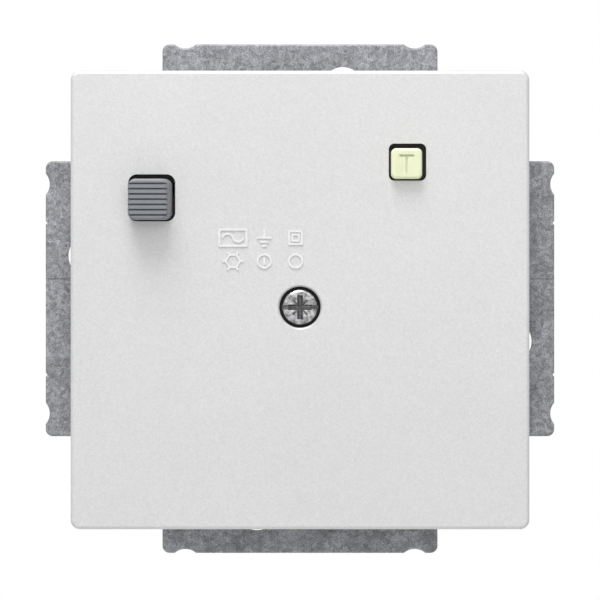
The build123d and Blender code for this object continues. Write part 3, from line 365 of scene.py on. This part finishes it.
BY_SLOT = {
    "silver_paint": PAINT, "zinc_steel": ZINC_FINE, "bright_steel": BRIGHT,
    "spring_steel": SPRING, "brass": BRASS, "copper": COPPER, "silver_alloy": SILVER,
    "grey_button": KEY_GREY, "pale_green_button": KEY_PALE, "black_housing": SHELL_BLACK,
    "beige_mechanism": BEIGE, "ferrite": FERRITE, "winding": WINDING,
    "board_green": BOARD, "component_body": COMPONENT, "wire_sleeve": SLEEVE,
}
# These nodes look different from the other nodes of their slot. The front housing is made black as painted
# shade, so the gaps round the keys read dark.
BY_NODE = {"support_ring": ZINC, "cover_screw": COVER_SCREW, "front_housing": SHELL_BLACK}

for part in frame["record"]["subparts"]:
    node = frame["nodes"][part["node"]]
    finish = BY_NODE.get(part["node"]) or BY_SLOT[part["material_slot"]]
    for holder in node.material_slots:
        holder.material = finish


# ------------------------------------------------------------------ springs
def coil_piece(name, replaced, centres, radius, wire, turns, material):
    """Compression springs along Y that fill the CAD node's length."""
    low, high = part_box(replaced)
    front, back = low[1] + wire, high[1] - wire
    curve = bpy.data.curves.new(name, "CURVE")
    curve.dimensions = "3D"
    curve.bevel_depth = wire
    curve.bevel_resolution = 2
    curve.use_fill_caps = True
    for x, z in centres:
        count = turns * STEPS_PER_TURN + 1
        spline = curve.splines.new("POLY")
        spline.points.add(count - 1)
        for i in range(count):
            along = i / (count - 1)
            # The end turns are a little further apart than the middle ones.
            rise = along + END_OPENING * math.sin(2 * math.pi * along) / math.pi
            angle = 2 * math.pi * turns * along
            spline.points[i].co = (x + radius * math.cos(angle), front + (back - front) * rise,
                                   z + radius * math.sin(angle), 1.0)
    shape = bpy.data.objects.new(name + "_path", curve)
    bpy.context.collection.objects.link(shape)
    mesh = bpy.data.meshes.new_from_object(shape)
    bpy.data.objects.remove(shape)
    piece = bpy.data.objects.new(name, mesh)
    bpy.context.collection.objects.link(piece)
    mesh.materials.clear()
    mesh.materials.append(material)
    for face in mesh.polygons:
        face.use_smooth = True
    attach(piece, ROOT)
    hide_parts(replaced)
    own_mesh(piece)


def centres_of(node, count):
    """The X and Z centres of coils that stand side by side in a node's box."""
    low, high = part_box(node)
    half = (high[2] - low[2]) / 2
    middle = (high[2] + low[2]) / 2
    if count == 1:
        return [((high[0] + low[0]) / 2, middle)]
    return [(low[0] + half, middle), (high[0] - half, middle)]


coil_piece("reset_return_spring", "reset_spring",
           centres_of("reset_spring", 1), RESET_COIL_RADIUS, RESET_WIRE, RESET_TURNS, SPRING)
coil_piece("carrier_opening_springs", "opening_springs",
           centres_of("opening_springs", 2), OPENING_COIL_RADIUS, OPENING_WIRE, OPENING_TURNS,
           SPRING)


# ------------------------------------------------------------------ floor, light and camera
def plain_floor():
    """A pale floor far below: the object hangs on a wall, so the floor only bounces light."""
    mesh = bpy.data.meshes.new("floor")
    corners = [(x * FLOOR_REACH, y * FLOOR_REACH, -FLOOR_DROP)
               for x, y in ((-1, -1), (1, -1), (1, 1), (-1, 1))]
    mesh.from_pydata(corners, [], [(0, 1, 2, 3)])
    floor = bpy.data.objects.new("floor", mesh)
    bpy.context.collection.objects.link(floor)
    mat, tree, shader, coords = new_material("pale_floor")
    cloud = noise(tree, coords, 9, 2.0)
    tree.links.new(greys(tree, cloud, (0.3, 0.82), (0.7, 0.86)), shader.inputs["Base Color"])
    shader.inputs["Roughness"].default_value = 0.8
    mesh.materials.append(mat)


def area_light(name, power, place, size):
    """A square light that faces the plate's centre."""
    lamp = bpy.data.lights.new(name, "AREA")
    lamp.energy = power
    lamp.size = size
    holder = bpy.data.objects.new(name, lamp)
    holder.location = place
    holder.rotation_euler = (-place).to_track_quat("-Z", "Y").to_euler()
    bpy.context.collection.objects.link(holder)


def white_world():
    """White behind the object and in its reflections, and a softer grey as fill light."""
    world = bpy.data.worlds.new("studio")
    bpy.context.scene.world = world
    world.use_nodes = True
    tree = world.node_tree
    background = tree.nodes["Background"]
    background.inputs["Color"].default_value = (1.0, 1.0, 1.0, 1.0)
    path = tree.nodes.new("ShaderNodeLightPath")
    seen = path.outputs["Is Camera Ray"]
    for ray in ("Is Glossy Ray", "Is Transmission Ray"):
        either = tree.nodes.new("ShaderNodeMath")
        either.operation = "MAXIMUM"
        tree.links.new(seen, either.inputs[0])
        tree.links.new(path.outputs[ray], either.inputs[1])
        seen = either.outputs["Value"]
    coords = tree.nodes.new("ShaderNodeTexCoord")
    split = tree.nodes.new("ShaderNodeSeparateXYZ")
    tree.links.new(coords.outputs["Generated"], split.inputs["Vector"])
    fill = tree.nodes.new("ShaderNodeMapRange")
    fill.inputs["From Min"].default_value = -1.0
    fill.inputs["To Min"].default_value = FILL_BELOW
    fill.inputs["To Max"].default_value = FILL_ABOVE
    tree.links.new(split.outputs["Z"], fill.inputs["Value"])
    level = tree.nodes.new("ShaderNodeMapRange")
    tree.links.new(fill.outputs["Result"], level.inputs["To Min"])
    level.inputs["To Max"].default_value = 1.0
    tree.links.new(seen, level.inputs["Value"])
    tree.links.new(level.outputs["Result"], background.inputs["Strength"])


def front_camera():
    """Looks straight at the plate from a little above its centre, with a shift back to it."""
    camera = bpy.data.cameras.new("camera")
    camera.sensor_width = SENSOR
    camera.lens = SENSOR * CAMERA_DISTANCE / FIELD
    camera.shift_y = -CAMERA_RISE / FIELD
    holder = bpy.data.objects.new("camera", camera)
    plate_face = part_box("cover_plate")[0][1]
    holder.location = (0, plate_face - CAMERA_DISTANCE, CAMERA_RISE)
    holder.rotation_euler = (math.radians(90), 0, 0)
    bpy.context.collection.objects.link(holder)
    bpy.context.scene.camera = holder


plain_floor()
area_light("key", KEY_POWER, KEY_PLACE, KEY_SIZE)
area_light("front", FRONT_POWER, FRONT_PLACE, FRONT_SIZE)
white_world()
front_camera()
bpy.context.scene.view_settings.view_transform = "Standard"
